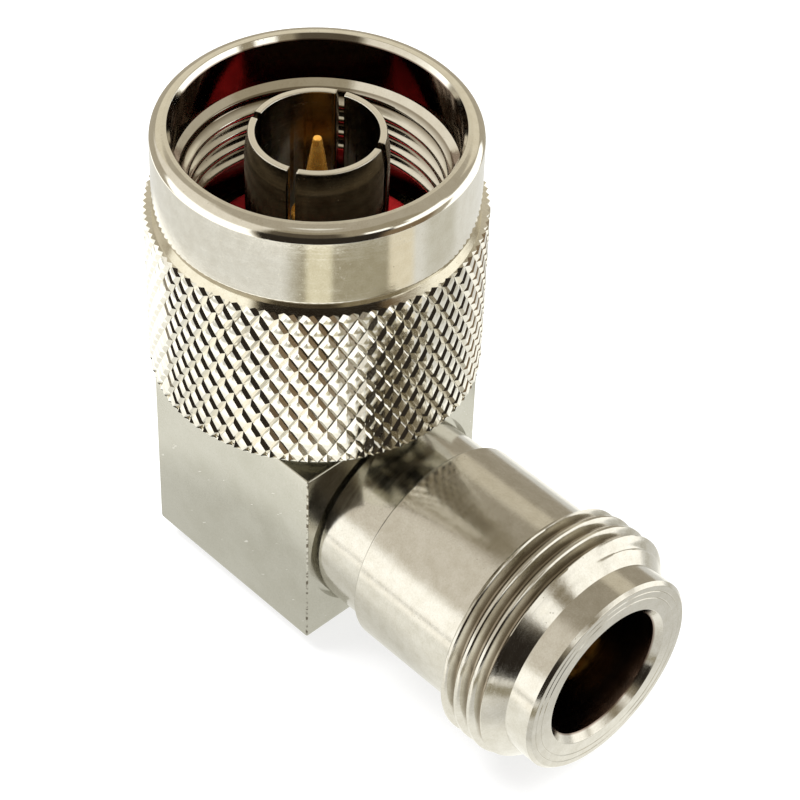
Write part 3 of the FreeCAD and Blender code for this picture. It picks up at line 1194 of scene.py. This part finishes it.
def floor_material(name, own_white, albedo):
    """White floor that keeps a soft shadow: part of its white is its own, the rest is lit."""
    nodes = Nodes(bpy.data.materials.new(name))
    grey = colour((albedo, albedo, albedo))
    diffuse = nodes.node("ShaderNodeBsdfDiffuse", {"Color": grey}).outputs[0]
    path = nodes.node("ShaderNodeLightPath").outputs
    seen = nodes.math("MAXIMUM", path["Is Glossy Ray"], path["Is Transmission Ray"])
    seen = nodes.math("MAXIMUM", path["Is Camera Ray"], seen)
    inputs = {"Color": colour((1, 1, 1)), "Strength": nodes.product(seen, own_white)}
    glow = nodes.node("ShaderNodeEmission", inputs).outputs[0]
    nodes.show(nodes.node("ShaderNodeAddShader", {0: diffuse, 1: glow}).outputs[0])
    return nodes.owner


def add_card(name, points, material, camera, glossy, diffuse, shadow):
    """Flat stage piece seen only by the kinds of rays that are named."""
    data = bpy.data.meshes.new(name)
    data.from_pydata([Vector(point) * MM for point in points], [], [tuple(range(len(points)))])
    data.materials.append(material)
    card = add_object(name, data)
    card.visible_camera = camera
    card.visible_glossy = glossy
    card.visible_diffuse = diffuse
    card.visible_shadow = shadow


def build_stage():
    """The floor that the camera sees, and just below it the table that only metal sees."""
    level = shell_low.z - floor_gap
    square = [
        (across * floor_reach, along * floor_reach, level)
        for across, along in ((-1, -1), (1, -1), (1, 1), (-1, 1))
    ]
    disc = []
    for side in range(table_sides):
        angle = 2 * math.pi * side / table_sides
        x, y = table_reach * math.cos(angle), table_reach * math.sin(angle)
        disc.append((x, y, level - table_gap))
    white = floor_material("Floor_white", own_white=0.72, albedo=0.34)
    add_card("Floor", square, white, camera=True, glossy=False, diffuse=True, shadow=True)
    add_card(
        "Table_reflection", disc, table_material(),
        camera=False, glossy=True, diffuse=False, shadow=False,
    )


def add_lamp(name, azimuth, elevation, distance, size, power):
    """Square soft lamp that points at the object and shows in no reflection."""
    data = bpy.data.lights.new(name, "AREA")
    data.shape = "SQUARE"
    data.size = size
    data.energy = power
    lamp = add_object(name, data)
    toward = direction(azimuth, elevation)
    lamp.location = toward * distance
    lamp.rotation_euler = toward.to_track_quat("Z", "Y").to_euler()
    lamp.visible_glossy = False
    lamp.visible_camera = False


def add_camera():
    data = bpy.data.cameras.new("Camera")
    data.sensor_width = camera_sensor
    data.lens = camera_lens
    data.clip_start, data.clip_end = camera_clip
    camera = add_object("Camera", data)
    back = direction(camera_azimuth, camera_elevation)
    right = Vector((0, 0, 1)).cross(back).normalized()
    up = back.cross(right)
    roll = math.radians(camera_roll)
    right_rolled = right * math.cos(roll) + up * math.sin(roll)
    up_rolled = -right * math.sin(roll) + up * math.cos(roll)
    turn = Matrix((right_rolled, up_rolled, back)).transposed().to_4x4()
    spot = (camera_target + back * camera_distance) * MM
    camera.matrix_world = Matrix.Translation(spot) @ turn
    bpy.context.scene.camera = camera


def dress_node(node, material):
    """Gives a carried-over CAD piece its finish."""
    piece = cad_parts[node]
    piece.data.materials.clear()
    piece.data.materials.append(material)


def main():
    block_plate = block_nickel()
    turned_plate = nickel(
        "Nickel_turned", axis="X", tint=(0.64, 0.62, 0.565), dark=(0.55, 0.525, 0.46),
        rough=(0.1, 0.2), marks=0.0006, mottle=0.0018, anisotropic=0.25, shade_masks=jack_shade_masks,
    )
    nut_plate = nickel(
        "Nickel_nut", axis="Z", tint=(0.8, 0.78, 0.71), dark=(0.73, 0.7, 0.62),
        rough=(0.05, 0.13), marks=0.0004, shade_masks=nut_shade_masks,
    )
    # Sleeve plate: its dark tint is painted shade, as the sleeve stands deep in the nut, and its top
    # rim takes a painted highlight
    sleeve_plate = nickel(
        "Nickel_sleeve", axis="Z", tint=(0.2, 0.165, 0.115), dark=(0.13, 0.1, 0.065),
        rough=(0.16, 0.28), marks=0.0005, highlight_above=ferrule_tip - ferrule_highlight_rim,
    )
    pin_gold = gold_plate("Gold_pin", (0.8, 0.34, 0.045), (0.95, 0.5, 0.1), metallic=0.7)
    contact_gold = gold_plate("Gold_contact", (0.9, 0.55, 0.12), (1.0, 0.7, 0.22), metallic=0.4)
    white = ptfe()
    place(make_body_block(), "adapter", "nickel_block", block_plate, "body_block")
    place(make_jack_shell(), "adapter", "nickel_turned", turned_plate, "jack_shell")
    place(make_rear_cap(), "adapter", "nickel_turned", turned_plate, "rear_cap")
    place(make_plug_ferrule(), "adapter", "nickel_sleeve", sleeve_plate, "plug_ferrule")
    place(make_plug_pin(), "adapter", "gold", pin_gold, "plug_pin")
    place(make_jack_contact(), "adapter", "gold", contact_gold, "jack_contact")
    place(make_gasket(), "adapter", "red_silicone", red_silicone(), "sealing_gasket")
    place(make_coupling_nut(), "nut", "nickel_nut", nut_plate, "coupling_nut")
    dress_node("plug_insulator", white)
    dress_node("jack_insulator", white)
    dress_node("retaining_ring", spring_bronze())
    light_world()
    build_stage()
    add_lamp("Key", azimuth=-70, elevation=62, distance=0.6, size=0.35, power=5.0)
    add_lamp("Fill", azimuth=130, elevation=55, distance=0.7, size=0.45, power=3.0)
    add_camera()
    bpy.context.scene.view_settings.view_transform = "Standard"


main()
